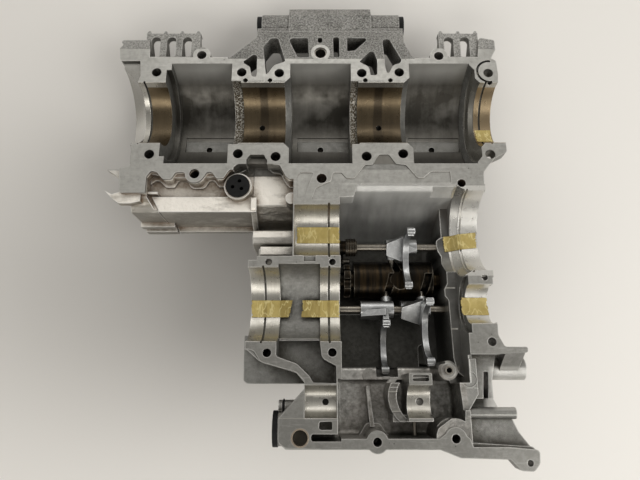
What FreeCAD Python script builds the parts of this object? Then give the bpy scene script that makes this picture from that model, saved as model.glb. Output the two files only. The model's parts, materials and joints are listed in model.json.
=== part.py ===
import FreeCAD, Part
import math
import os

# Lower half of a split crankcase for a three-cylinder two-stroke engine with its gearbox.
# X runs along the crankshaft, Y points to the front of the engine, Z is up, in millimetres.
# The origin is on the crankshaft's axis in the joint face, in the middle of the middle crank bay.

# Crankshaft section
cylinder_pitch = 112.5
seat_radius = 31.0
seat_chamfer = 5.5
left_mouth_radius = 52.6
rough_band_radius = 32.6
bay_radius = 51.5
bay_half_width = 28.6
bay_step_radius = 44.5
bay_step_width = 4.6
crank_left_end = -187.0
crank_right_end = 166.5
left_seat_start = -171.5
snap_groove_width = 1.8
snap_groove_depth = 1.6
oil_hole_radius = 2.7
drain_y = -13.5
drain_radius = 3.0
drain_boss_radius = 9.0
drain_boss_height = 4.5

# Walls and flanges
flange_thickness = 12.0
case_wall = 6.0
boss_radius = 8.4
bolt_hole_radius = 4.5
bolt_half_x = 74.5
bolt_half_y = 42.0

# Gearbox shafts, all parallel to the crankshaft
input_axis_y = -113.5
input_left_radius = 23.0
input_right_radius = 36.0
output_axis_y = -177.8
output_left_radius = 30.8
output_right_radius = 16.3
kick_axis_y = -255.5
kick_radius = 12.5
gearbox_left = 17.0
gearbox_right = 112.0
gearbox_floor = -88.0
sump_bottom = -96.0

# Change mechanism
rod_radius = 3.5
rod_clearance = 0.05
rod_z = -45.0
front_rod_y = -117.5
rear_rod_y = -176.0
drum_y = -146.8
drum_z = -58.0
drum_radius = 18.0
drum_left = 31.0
drum_right = 104.0
journal_radius = 8.0
groove_width = 6.7
groove_depth = 5.0
pin_radius = 3.0
fork_boss_radius = 7.6
fork_plate = 5.0
fork_band = 6.4
fork_fan = 12.5
fork_fan_height = 5.5
fork_travel = 5.0
fork_tip_half = 3.3
fork_relief = 0.4
drum_half_turn_deg = 60.0
star_radius = 16.0
roller_radius = 4.0

# Front mounting tube and its rubber bushes
mount_axis_y = 100.5
mount_axis_z = -14.5
mount_tube_radius = 13.5
mount_tube_bore = 10.5
mount_left = -57.5
mount_right = 77.0
mount_bush_length = 26.0
mount_bush_lip = 4.8
mount_lip_radius = 12.2
mount_sleeve_radius = 6.5
mount_bolt_radius = 5.2

# Rear mounting boss
rear_axis_y = -276.5
rear_axis_z = -14.5
rear_boss_left = -34.0
rear_boss_right = -13.0
rear_cap_radius = 14.0
rear_bush_end = -24.0
rear_bush_radius = 7.0
spigot_y = -260.3
spigot_z = -16.0
spigot_radius = 6.0

# Fittings
tape_width = 15.0
tape_thickness = 0.08
input_cone_left = 121.0
input_cone_right = 127.5
input_cone_rise = 4.5
input_cone_lip = 0.8
grommet_x = -74.0
grommet_y = -71.5
grommet_radius = 10.7
plate_bush_x = 103.0
plate_bush_y = -231.5
plate_boss_radius = 7.8
recess_depth = 0.8

X_AXIS = FreeCAD.Vector(1, 0, 0)
Z_AXIS = FreeCAD.Vector(0, 0, 1)


def vec(x, y, z=0.0):
    return FreeCAD.Vector(x, y, z)


def box(x0, x1, y0, y1, z0, z1):
    return Part.makeBox(x1 - x0, y1 - y0, z1 - z0, vec(x0, y0, z0))


def rod(x0, x1, y, z, radius):
    return Part.makeCylinder(radius, x1 - x0, vec(x0, y, z), X_AXIS)


def ring(x0, x1, y, z, outer, inner):
    return rod(x0, x1, y, z, outer).cut(rod(x0 - 1, x1 + 1, y, z, inner))


def taper(x0, x1, y, z, radius0, radius1):
    return Part.makeCone(radius0, radius1, x1 - x0, vec(x0, y, z), X_AXIS)


def post(x, y, radius, top, bottom):
    return Part.makeCylinder(radius, top - bottom, vec(x, y, bottom))


def fuse(shapes):
    return shapes[0].multiFuse(shapes[1:]) if len(shapes) > 1 else shapes[0]


def rounded_wire(points, z):
    """Closed outline at height z. A point (x, y, r) has its corner rounded to radius r."""
    count = len(points)
    starts, ends, arcs = [], [], []
    for i, point in enumerate(points):
        here = vec(point[0], point[1], z)
        before = vec(points[i - 1][0], points[i - 1][1], z) - here
        after = vec(points[(i + 1) % count][0], points[(i + 1) % count][1], z) - here
        radius = point[2] if len(point) > 2 else 0.0
        if radius == 0.0:
            starts.append(here)
            ends.append(here)
            arcs.append(None)
            continue
        before.normalize()
        after.normalize()
        half = before.getAngle(after) / 2
        run = radius / math.tan(half)
        first = here + before * run
        last = here + after * run
        middle = before + after
        middle.normalize()
        near = here + middle * (radius / math.sin(half) - radius)
        starts.append(first)
        ends.append(last)
        arcs.append(Part.Arc(first, near, last).toShape())
    edges = []
    for i in range(count):
        if arcs[i] is not None:
            edges.append(arcs[i])
        following = starts[(i + 1) % count]
        if ends[i].distanceToPoint(following) > 0.01:
            edges.append(Part.LineSegment(ends[i], following).toShape())
    return Part.Wire(Part.__sortEdges__(edges))


def plate(points, top, bottom):
    """Plate of the given outline between two heights."""
    face = Part.Face(rounded_wire(points, bottom))
    return face.extrude(vec(0, 0, top - bottom))


def profile(points, x0, x1):
    """Prism along X from an outline given as (y, z) or (y, z, r) points."""
    face = Part.Face(rounded_wire(points, 0.0))
    face.rotate(vec(0, 0, 0), vec(1, 1, 1), 120)
    face.translate(vec(x0, 0, 0))
    return face.extrude(vec(x1 - x0, 0, 0))


def pocket(points, top, bottom, floor_radius):
    """Cutter for a cast pocket: vertical walls and a rounded edge round its floor."""
    block = plate(points, top, bottom)
    low = [e for e in block.Edges if e.BoundBox.ZMax < bottom + 0.01]
    return block.makeFillet(floor_radius, low)


DRAIN_SEAT = -(bay_radius + case_wall + drain_boss_height)
BAYS = [(k * cylinder_pitch - bay_half_width, k * cylinder_pitch + bay_half_width) for k in (-1, 0, 1)]


FRONT_BOLTS = [(-155, 42), (-bolt_half_x, bolt_half_y), (-39, 41.2), (39, 41.2), (bolt_half_x, bolt_half_y),
               (158.5, 41.2)]
REAR_BOLTS = [(-154.5, -42.5), (-bolt_half_x, -bolt_half_y), (-40.5, -44.8), (41.5, -44.6), (bolt_half_x, -bolt_half_y),
              (153, -42.5)]
PILOT_BOLTS = [(-113.5, 61), (113, 60), (-112.5, -61.5), (1, -66)]
SMALL_BOLTS = [(125, -70.5, 3.7), (-44, -142.3, 2.9), (10, -142.3, 2.9), (-43.5, -217.8, 3.5), (9.5, -217.5, 3.5),
               (138, -155.8, 2.6), (139.5, -209, 3.5), (44, -285.5, 3.4), (105, -283, 3.4),
               (plate_bush_x, plate_bush_y, 3.4),
               (160.5, -300.5, 2.4)]


def deck():
    """Machined joint face with its bolt bosses: the flange round every opening of the case."""
    crank = plate([(-192.5, 77.5, 2), (-164.5, 77.5), (-163, 58.8), (-86.5, 58.5, 4), (-61.5, 80.5, 3), (-61.5, 88),
                   (80, 88), (80, 76, 3), (88, 57.8, 3), (150, 58.8), (152.5, 80.5, 3), (167.5, 77.5, 2),
                   (167.5, 66.5), (162.5, 57.5), (167, 54.5, 2), (167.5, 39), (166.5, 30.5), (166.5, -30.5),
                   (168, -31, 1), (168, -40.5, 3), (156, -46.5, 3), (145.5, -60, 6), (144.5, -77), (116, -73),
                   (116, -59.5), (-22, -59.5), (-22, -66.5, 2), (-28, -66.5, 4), (-31.5, -63, 2), (-36.5, -53, 4),
                   (-44, -52, 4), (-49, -47, 3), (-51, -43, 1.5), (-63.5, -43, 1.5), (-68.5, -49.5, 4),
                   (-75.5, -53, 4), (-82.5, -59, 3), (-86.5, -66, 3), (-92.5, -66, 3), (-97, -60, 3), (-101.5, -60, 3),
                   (-106, -67.5, 5), (-117, -67.5, 5), (-121.5, -60, 3), (-129.5, -60, 3), (-133, -66.5, 3),
                   (-140.5, -66.5, 3), (-146, -60, 3), (-151.5, -58.5, 3), (-155, -64, 2), (-155, -79.5),
                   (-177.5, -79.5, 2), (-180, -56, 1.5),
                   (-170.5, -54, 3), (-171, -38.5), (-173, -31), (-171.5, 31.5), (-183.5, 44.5), (-191, 56.5),
                   (-192.5, 68.5, 1), (-189.5, 72)], 0, -flange_thickness)
    shaft_side = plate([(-24, -50), (116, -50), (144.5, -77), (144.5, -161.5), (122, -161.5), (122, -193.5),
                        (145, -193.5), (145, -203.5, 4), (149.5, -213, 3), (168, -213, 1.5), (167.5, -217.5, 1.5),
                        (149, -218.5), (122, -219), (106, -219), (106, -120), (17, -120), (17, -241.5),
                        (12.5, -291), (-27.5, -290, 3), (-33, -286, 2), (-33, -268), (-12.8, -246), (-13, -240),
                        (-19.5, -233, 8), (-48.5, -225, 6), (-54, -216.5, 4), (-61, -214, 2), (-61.5, -208.5),
                        (-61.5, -147), (-54, -143.5), (-54, -137), (-24, -137)], 0, -flange_thickness)
    rear_strip = plate([(0, -283), (92, -283), (105, -274, 4), (116, -283, 4), (118, -289), (146, -289),
                        (169, -291, 3), (168, -301, 5), (163, -306.5, 4), (153, -306, 4), (146, -298, 2),
                        (107.5, -297, 5), (92, -291), (0, -291)], 0, -flange_thickness)
    bosses = [post(x, y, boss_radius, 0, -22) for x, y in PILOT_BOLTS]
    bosses.append(plate([(-155, -44), (-155, -59), (-134, -63), (-106, -63), (-86, -61), (-76, -49), (-24, -49),
                         (-24, -44)], -6, -18))
    bosses += [post(44, -285.5, 8.6, 0, -30), post(105, -283, 8.6, 0, -40), post(9.5, -217.5, 9.0, 0, -30),
               post(125, -70.5, 7.4, 0, -30), post(0, 63.5, 9.5, 0, -24)]
    return [crank, shaft_side, rear_strip] + bosses


FACE_RECESSES = [
    [(-21, -64, 1.5), (-18.5, -60.5, 1.5), (-6.5, -60.5, 1), (-14.5, -83.5, 1), (-20.5, -85.5, 1)],
    [(-4, -75, 3), (9.5, -68.5, 4), (11, -60.5, 2), (18.5, -60.5, 2), (23, -66, 2.5), (30, -66, 3), (40, -53, 2),
     (46.5, -53, 2.5), (52.5, -43, 2.5), (61.5, -43, 2.5), (67.5, -52, 3), (76.5, -53, 3), (86, -65.5, 3),
     (91.5, -65.5, 3), (98.5, -59.5, 3), (115.5, -59.5, 1), (116, -70.3, 1), (36, -70.3, 2), (31, -82, 3), (17, -83.2, 2),
     (12, -86.2, 2), (-8, -86.2, 1)],
]


def crank_outside():
    """Round underside of the three crank bays and of the bearing housings between them."""
    housings = [rod(crank_left_end, BAYS[0][0], 0, 0, seat_radius + 21),
                rod(BAYS[0][0], crank_right_end, 0, 0, seat_radius + 10)]
    for x0, x1 in BAYS:
        housings.append(rod(x0 - case_wall, x1 + case_wall, 0, 0, bay_radius + case_wall))
    for x in (-74.5, -40, 40, 74.5):
        housings.append(box(x - 8, x + 8, -52, 52, -40, 0))
    for x in (-cylinder_pitch, 0, cylinder_pitch):
        housings.append(post(x, drain_y, drain_boss_radius, DRAIN_SEAT + 22, DRAIN_SEAT))
    below = box(-220, 220, -120, 120, -120, 0)
    notch = box(-200, -171, -80, -14, -90, 1)
    return [fuse(housings).common(below).cut(notch)]


def lug_combs():
    """Open ribbed brackets in front of the outer crank bays."""
    combs = []
    for x0, x1, count in ((-168.5, -116.5, 3), (114.5, 152.5, 2)):
        rise = [(86.5, -2), (86.5, -7.5, 2), (79, -9, 3), (56, -26), (52, -26), (52, -2)]
        comb = profile(rise, x0, x1)
        step = (x1 - x0) / (count + 0.45)
        for k in range(count):
            left = x0 + 5.0 + k * step
            comb = comb.cut(plate([(left, 60.5, 1), (left, 82.5, 4.2), (left + 8.8, 82.5, 4.2),
                                   (left + 8.8, 60.5, 1)], 1, -40))
        for k in range(count + 1):
            middle = x0 + 2.2 + k * (x1 - x0 - 4.4) / count
            comb = comb.fuse(plate([(middle - 2.6, 86), (middle - 0.9, 89.4), (middle + 0.9, 89.4),
                                    (middle + 2.6, 86)], -2, -10))
        combs.append(comb)
    return combs


def rear_left_block():
    """Closed chamber behind the left crank bays with its floor, raised roof, stepped end and foot."""
    floor = plate([(-166, -48), (-60, -44), (-60, -80), (-166, -80)], -17, -62)
    roof = plate([(-152.5, -79), (-57.5, -79), (-57.5, -93.5), (-144.5, -93.5)], -12, -62)
    sill = plate([(-141.5, -90), (-57.5, -90), (-57.5, -98.5), (-137.5, -98.5)], -57, -62)
    cap = profile([(-76, -7), (-82, -8, 3), (-93, -15.5, 2), (-93, -44), (-76, -44)], -171, -146)
    cap = cap.cut(plate([(-157, -78), (-146, -97), (-130, -97), (-130, -78)], 1, -14))
    steps = [plate([(-171.5, -76), (-147, -76), (-138, -97.5, 1), (-171.5, -97.5, 1)], -44, -51),
             plate([(-169, -76), (-147, -76), (-138, -99.5, 1), (-169, -99.5, 1)], -53, -62),
             plate([(-165, -76), (-147, -76), (-140, -94), (-165, -94)], -50, -56)]
    teeth = [plate([(-192, -56.5), (-178, -56.5), (-178, -64), (-181, -63)], -3, -11),
             plate([(-192.5, -76), (-186, -79.5), (-176, -76), (-160, -76), (-160, -86), (-168, -88, 1),
                    (-179, -88, 2), (-184, -84.5, 1)], -4, -11)]
    slope = profile([(-45, -16.3), (-86, -16.3, 2), (-92, -26, 6), (-102, -40, 3), (-105.5, -40, 1.5), (-108, -21, 2),
                     (-114.5, -19, 3), (-121, -21, 2), (-123.2, -30, 0.8), (-125.8, -30, 0.5), (-126, -9, 1.5),
                     (-134, -9, 1), (-136, -74), (-45, -74)], -61, -21)
    slope = slope.cut([box(-62, -52.5, -140, -122, -28, 0), box(-62, -55, -140, -122, -80, 0)])
    ridge = profile([(-79, -9, 3), (-91, -9.5, 4), (-103, -33, 3), (-106, -60), (-79, -60)], -62.5, -57.5)
    foot = box(-54, -20, -139, -128, -74, -11)
    ledge = plate([(-155, -44), (-155, -66.5), (-151, -63, 3), (-147, -63, 3), (-140.5, -69.5, 3), (-133, -69.5, 3),
                   (-129.5, -63, 3), (-121.5, -63, 3), (-117.5, -70.5, 5), (-105.5, -70.5, 5), (-101.5, -63, 3),
                   (-97, -63, 3), (-92.5, -69, 3), (-86.5, -69, 3), (-82.5, -62, 3), (-75.5, -56, 4), (-68.5, -52.5, 4),
                   (-63.5, -46, 1.5), (-51, -46, 1.5), (-49, -50, 3), (-44, -55, 4), (-36.5, -56, 4), (-31.5, -66, 2),
                   (-28, -69.5, 3), (-22, -69.5), (-22, -44)], -flange_thickness - 1.2, -20)
    bump = post(-26, -83.5, 5.2, -3, -30)
    grommet_boss = post(grommet_x, grommet_y, 12.4, -5, -30)
    return [floor, roof, sill, cap, slope, ridge, foot, ledge, bump, grommet_boss] + steps + teeth


def gearbox_outside():
    """Sump box below the gears, sloping up to the crank bays at its front."""
    box_part = profile([(-45, -8), (-52, -55, 8), (-104, sump_bottom, 14), (-236, sump_bottom, 16),
                        (-245, -40, 10), (-245, -8)], gearbox_left - case_wall, gearbox_right + case_wall)
    journals = [rod(4, 14, drum_y, drum_z, 14), rod(116, 124, drum_y, drum_z, 15),
                rod(4, 14, front_rod_y, rod_z, 9), rod(4, 14, rear_rod_y, rod_z, 9)]
    return [box_part] + journals


def shaft_housings():
    """Half-round housings under the bearing seats of the gearbox shafts."""
    below = box(-220, 220, -320, 0, -120, 0)
    halves = [rod(-24, gearbox_left, input_axis_y, 0, input_left_radius + 7),
              rod(116, 145.5, input_axis_y, 0, input_right_radius + 6),
              rod(-61.5, gearbox_left, output_axis_y, 0, output_left_radius + 6.5),
              rod(116, 143, output_axis_y, 0, output_right_radius + 7.5),
              rod(-13, gearbox_left, kick_axis_y, 0, kick_radius + 9),
              rod(69, 90, kick_axis_y, 0, kick_radius + 6)]
    webs = [box(115, 124, -222, -75, -44, -8), box(120, 136, -162, -150, -30, 0),
            box(-24, 17, -142, -100, -40, 0), box(122, 145, -219, -193.5, -26, 0)]
    return [fuse(halves).common(below)] + webs


def support():
    """Middle bearing block of the kick-start shaft, with the slot in its head."""
    block = plate([(70.5, -233.5, 1), (89, -233.5, 1), (89, -245), (88.5, -270.5, 1), (69, -270.5, 1), (70.5, -245)],
                  0, -60)
    return block.cut(support_slot())


def support_slot():
    return plate([(73.3, -235.2, 1.5), (86.6, -235.2, 1.5), (86.6, -240, 1.5), (73.3, -240, 1.5)], 1, -14)


def kick_ring():
    """Round wall that stands round the spring of the kick-start shaft, beside its bearing."""
    wall = post(80, -252, 25.5, -7, -60).common(box(50, 71, -271, -230, -60, 0))
    return wall.cut(post(84, -252, 22.5, 0, -60)).fuse(box(58, 71, -271.5, -266, -60, -12))


def rear_rib():
    """Tapered rib on the tray's floor that runs to the rear bolt boss."""
    rib = plate([(38.2, -243.5, 1), (41.0, -243.5, 1), (44.6, -276), (40.8, -276)], -27, -60)
    root = plate([(31, -284), (38, -273, 4), (49, -273, 4), (57, -284)], -30, -60)
    return rib.fuse(root)


def rear_section():
    """Shallow tray behind the gearbox that holds the kick shaft, with its walls and shelf."""
    tray = profile([(-225, -36), (-225, -52, 4), (-286, -52, 8), (-291, -44), (-291, -10), (-225, -10)], -13, 118)
    left_wall = plate([(-27, -291), (-33, -286, 2), (-33, -267), (-13, -246), (13, -246), (13, -291)], -1, -40)
    corner = plate([(85, -280), (92, -291), (110, -297), (118, -296), (118, -262), (112, -262)], -1, -44)
    shelf = plate([(-68, -200), (-50, -200), (-13, -230), (-13, -241.5), (-64.5, -241.5, 3), (-67.5, -239, 1)],
                  -42, -52)
    shelf_wall = plate([(-61.5, -205), (-61.5, -214, 2), (-50, -224, 3), (-20, -233, 6), (-13, -241), (17, -241),
                        (17, -205)], -1, -52)
    cone = Part.makeCone(21, 12, 44, vec(80, -254, -50), Z_AXIS).common(box(66, 92, -280, -230, -50, -12))
    mount_boss = rod(rear_boss_left, rear_boss_right, rear_axis_y, rear_axis_z, 13.2)
    spigot = rod(rear_boss_left, -12, spigot_y, spigot_z, spigot_radius)
    plate_boss = post(plate_bush_x, plate_bush_y, plate_boss_radius, -2, -60)
    plate_boss = plate_boss.makeChamfer(2.0, [e for e in plate_boss.Edges if e.BoundBox.ZMin > -2.1])
    return [tray, left_wall, corner, shelf, shelf_wall, cone, mount_boss, spigot, support(), plate_boss]


def wing():
    """Fan-shaped plate behind the right side of the gearbox, with its round rib, ear and end boss."""
    sheet = plate([(106, -261), (151, -261), (158, -278, 8), (169, -293, 2), (166, -298), (106, -296)], -13, -19)
    low = plate([(106, -243), (143, -246), (151, -262), (106, -262)], -34, -40)
    frame = plate([(118, -286), (166, -289, 3), (168, -296), (118, -296)], -4, -16)
    round_rib = rod(117, 156.5, -264.5, -11.5, 4.6)
    ear = plate([(121, -228), (124, -216), (146, -216), (141, -240, 3), (141, -253.5), (122.5, -253.5),
                 (122.5, -240, 5)], -14, -34)
    slot = plate([(134.5, -232, 1), (138.5, -232, 1), (136.5, -256), (132.5, -256)], 1, -40)
    barrel = rod(138, 173, -229, -30, 9.6)
    arm = profile([(-213, -2), (-218, -2), (-232, -22), (-236, -36), (-222, -40), (-213, -20)], 150, 166)
    wall = plate([(116, -222), (127, -222), (127, -250), (119, -262), (119, -290), (112, -290), (112, -236)], -7, -46)
    return [sheet, low, frame, round_rib, ear.cut(slot), barrel, arm, wall]


def front_mount():
    """Cross tube for the front engine bolt, its pad and the lattice of struts behind it."""
    tube = rod(mount_left, mount_right, mount_axis_y, mount_axis_z, mount_tube_radius)
    pad = profile([(84, -1), (106, 0.5, 3), (118, -6, 4), (123, -15, 4), (114, -32, 6), (88, -30, 4)], -31, 49.5)
    rail = box(-61.5, 80, 81, 92, -24, -1.5)
    lattice = plate([(-87, 58.5), (-61.5, 79), (-61.5, 84), (80, 84), (80, 76), (88, 57.8), (88, 36), (-87, 36)],
                    -2, -24)
    return [tube, pad, rail, lattice]


LATTICE_HOLES = [
    [(-74.5, 53, 2), (-60.5, 65, 3), (-60.5, 37, 1.5), (-65, 38, 1.5), (-67, 48, 3)],
    [(-55, 70, 5), (-48, 80, 3), (-41, 80, 3), (-33.5, 54, 1.5), (-44, 50, 6), (-51.5, 38.5, 1)],
    [(-31.5, 80, 3), (-12, 80, 2), (-11, 58.8), (-22, 58.8, 1)],
    [(12, 81, 2.5), (18, 81, 2.5), (18, 58.8, 1), (12.5, 58.8)],
    [(25.5, 80, 1.5), (47, 80, 2), (33, 66, 2), (25.5, 65, 1.5)],
    [(50, 68, 3), (54, 55, 4), (53.5, 39, 2), (47.5, 39, 1), (46, 48, 5), (37, 53.5, 1)],
    [(-2.8, 74.6, 2), (-2.8, 80.6, 2), (1.8, 80.6, 2), (1.8, 74.6, 2)],
    [(59.5, 78, 3), (66, 79, 3), (78.5, 53, 4), (69, 50, 6), (63.5, 38.5, 1.5), (61.5, 48)],
]


def crank_cavities():
    cuts = []
    for x0, x1 in BAYS:
        cuts.append(rod(x0, x1, 0, 0, bay_radius))
    cuts.append(rod(BAYS[0][0] - bay_step_width, BAYS[0][0] + 1, 0, 0, bay_step_radius))
    cuts.append(taper(BAYS[2][1] - 1, BAYS[2][1] + bay_step_width, 0, 0, bay_radius, bay_step_radius))
    cuts.append(rod(left_seat_start - 1, crank_right_end + 2, 0, 0, seat_radius))
    cuts.append(taper(BAYS[2][1] + bay_step_width - 0.5, BAYS[2][1] + bay_step_width + 4, 0, 0, seat_radius + 5,
                      seat_radius))
    cuts.append(taper(left_seat_start - 20, left_seat_start, 0, 0, left_mouth_radius, seat_radius))
    for x0, x1 in BAYS:
        cuts.append(box(x0 + 5, x1 - 0.5, -17.5, -0.5, -bay_radius - 0.7, -bay_radius + 20))
    cuts += [post(x, 33.4, 2.2, 1, -3) for x in (-70.7, -47.5, 42.2, 65.8)]
    cuts.append(plate([(-192, 54.5), (-171.6, 54.5, 1), (-170, 38.8, 2), (-172, 30), (-192, 30)], 1, -3))
    groove = post(159.5, 43, 12.2, 1, -5).cut(post(159.5, 43, 10.2, 2, -6))
    cuts.append(groove.common(box(140, 161.5, 30, 60, -6, 2)))
    for x0, x1 in ((BAYS[0][1] - 1, BAYS[0][1] + 9), (BAYS[1][1] - 1, BAYS[1][1] + 7)):
        cuts.append(rod(x0, x1, 0, 0, rough_band_radius))
    for x in (BAYS[1][0], BAYS[2][0]):
        cuts.append(taper(x - seat_chamfer, x + 0.5, 0, 0, seat_radius, seat_radius + seat_chamfer + 0.5))
    for x in (-166.5, 154.5):
        cuts.append(rod(x, x + snap_groove_width, 0, 0, seat_radius + snap_groove_depth))
    return cuts


def right_ledge():
    """Right wall of the gearbox below the bearings, bulging inwards round the rod and drum ends."""
    wall = box(113.5, 130, -109, -60, -100, -42)
    bulge = plate([(130, -108), (113, -109, 3), (108.4, -112, 3), (108.4, -118, 3), (109.2, -123, 2),
                   (111.5, -128, 2), (110.5, -136, 3), (112.3, -145, 3), (112.3, -156, 3), (109.5, -161, 2),
                   (109.5, -167, 2), (112.5, -171, 3), (113.5, -221, 6), (116, -232, 5), (121, -236, 4),
                   (130, -240)], -25, -100)
    return wall.fuse(bulge)


def gearbox_shelf():
    """Raised floor under the rear forks and the ledge behind it with its round marks."""
    low = plate([(10, -177), (101.5, -177, 3), (101.5, -204, 3), (92, -207, 3), (92, -226.5), (92, -250), (10, -250)],
                -70, -100)
    marks = [post(43, -234.8, 6.3, -37.3, -60), post(57, -235.4, 3.2, -36.8, -60)]
    return low.fuse(marks)


def gearbox_cavities():
    cuts = []
    main = profile([(-72.2, 1), (-72.4, -1.5, 1), (-76.5, -6, 4), (-79, -40, 40), (-98, gearbox_floor, 22),
                    (-227, gearbox_floor, 8), (-227, -40, 4), (-241, -38), (-241, 1)], gearbox_left, 121)
    plate_post = post(plate_bush_x, plate_bush_y, plate_boss_radius, 5, -60)
    step = plate([(10, -60), (34, -60), (33, -71, 2), (29, -83.5, 2), (10, -83.5)], 3, -16)
    main = main.cut([step, right_ledge(), gearbox_shelf(), support().fuse(support_slot()), plate_post])
    cuts.append(main)
    cuts.append(fork_path("fork_rear_right"))
    cuts.append(rod(100, input_cone_left + 0.5, input_axis_y, 0, input_right_radius + input_cone_rise))
    cuts.append(taper(input_cone_left, input_cone_right, input_axis_y, 0, input_right_radius + input_cone_rise,
                      input_right_radius + input_cone_lip))
    cuts.append(rod(100, 124, output_axis_y, 0, 24))
    for x0, x1, y, radius in ((-23, gearbox_left + 1, input_axis_y, input_left_radius),
                              (121, 146, input_axis_y, input_right_radius),
                              (-62, -35.5, output_axis_y, output_left_radius),
                              (-0.5, gearbox_left + 1, output_axis_y, output_left_radius),
                              (123, 144, output_axis_y, output_right_radius),
                              (-12.7, 12.7, kick_axis_y, kick_radius),
                              (68, 91, kick_axis_y, kick_radius)):
        cuts.append(rod(x0, x1, y, 0, radius))
    for x, y, radius in ((6.5, input_axis_y, input_left_radius), (128.4, input_axis_y, input_right_radius),
                         (-49.5, output_axis_y, output_left_radius), (6.5, output_axis_y, output_left_radius)):
        cuts.append(rod(x, x + snap_groove_width, y, 0, radius + snap_groove_depth))
    cuts.append(rod(-35.6, -0.4, output_axis_y, 0, output_left_radius + 3.2))
    cuts.append(plate([(-36, -205), (-36, -220.5, 3), (-19, -226.5, 8), (-9, -236, 5), (-6, -241, 2), (12.5, -241.5),
                       (12.5, -228), (1, -222, 6), (-1, -205)], 1, -34))
    rear_post = post(105, -283, 15, 5, -60)
    tray = pocket([(13.5, -238), (70, -238), (112, -236, 6), (114, -262, 30), (112, -283), (13.5, -283)], 1, -42, 4)
    cuts.append(tray.cut([support(), rear_post, post(44, -285.5, 8.6, 5, -60), rear_rib(), kick_ring(), plate_post]))
    cuts.append(plate([(-7.5, -279.7, 2), (16, -279.7), (16, -285, 0.5), (-7.5, -285, 2)], 1, -36))
    cuts.append(plate([(-1.3, -270.5, 2), (9, -270.5, 1), (9, -276.5, 1), (-1.3, -276.5, 2)], 1, -9))
    cuts.append(plate([(-14.3, -136), (-4.3, -136), (-4.3, -141.6), (-14.3, -141.6)], 1, -2.2))
    cuts += [post(4, -256, 2.6, -5, -22), post(80.3, -255.7, 3.0, -5, -15.5)]
    return cuts


def bolt_cutters():
    cuts = [post(x, y, bolt_hole_radius, 1, -60) for x, y in FRONT_BOLTS + REAR_BOLTS + PILOT_BOLTS]
    cuts += [post(x, y, r, 1, -28) for x, y, r in SMALL_BOLTS]
    cuts.append(post(0, 63.5, 6.0, 1, -30))
    cuts += [post(x, 0, oil_hole_radius, 0, -70) for x in (-57, 57)]
    cuts += [post(x, drain_y, drain_radius, 0, DRAIN_SEAT - 1) for x in (-cylinder_pitch, 0, cylinder_pitch)]
    cuts += [rod(10, 116, y, rod_z, rod_radius) for y in (front_rod_y, rear_rod_y)]
    cuts.append(rod(6, 120, drum_y, drum_z, journal_radius + rod_clearance))
    cuts.append(post(grommet_x, grommet_y, 9.0, 0, -40))
    cuts.append(post(grommet_x, grommet_y, grommet_radius + 0.2, -0.5, -5))
    cuts.append(post(-16, -282.5, 7.0, 1, -8.5))
    cuts.append(rod(rear_boss_left - 1, rear_bush_end, rear_axis_y, rear_axis_z, rear_bush_radius))
    cuts.append(rod(rear_boss_left, 16, rear_axis_y, rear_axis_z, 4.2))
    cuts.append(rod(-40, -14, spigot_y, spigot_z, 2.8))
    cuts.append(ring(-31, -28.8, spigot_y, spigot_z, spigot_radius + 1.0, spigot_radius - 0.8))
    cuts.append(rod(48.5, 67.5, -209.5, -42.0, 26.5))
    cuts.append(rod(mount_left - 6, mount_left, mount_axis_y, mount_axis_z, mount_lip_radius + 0.4))
    cuts.append(rod(mount_right, mount_right + 6, mount_axis_y, mount_axis_z, mount_lip_radius + 0.4))
    cuts.append(rod(rear_boss_left - 6, rear_boss_left, rear_axis_y, rear_axis_z, rear_cap_radius + 0.2))
    cuts.append(Part.makeCylinder(1.6, 6, vec(77.2, -267, -24), vec(0, -1, 0)))
    cuts.append(post(60, -205, 6.0, -75, -97))
    cuts.append(post(60, -205, 12.5, -91, -97))
    return cuts


def on_wall(point, spread, radius):
    """Point at the given radius and angle (degrees from straight up, positive to the rear)."""
    turn = math.radians(spread)
    return point[0] - radius * math.sin(turn), point[1] + radius * math.cos(turn)


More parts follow.
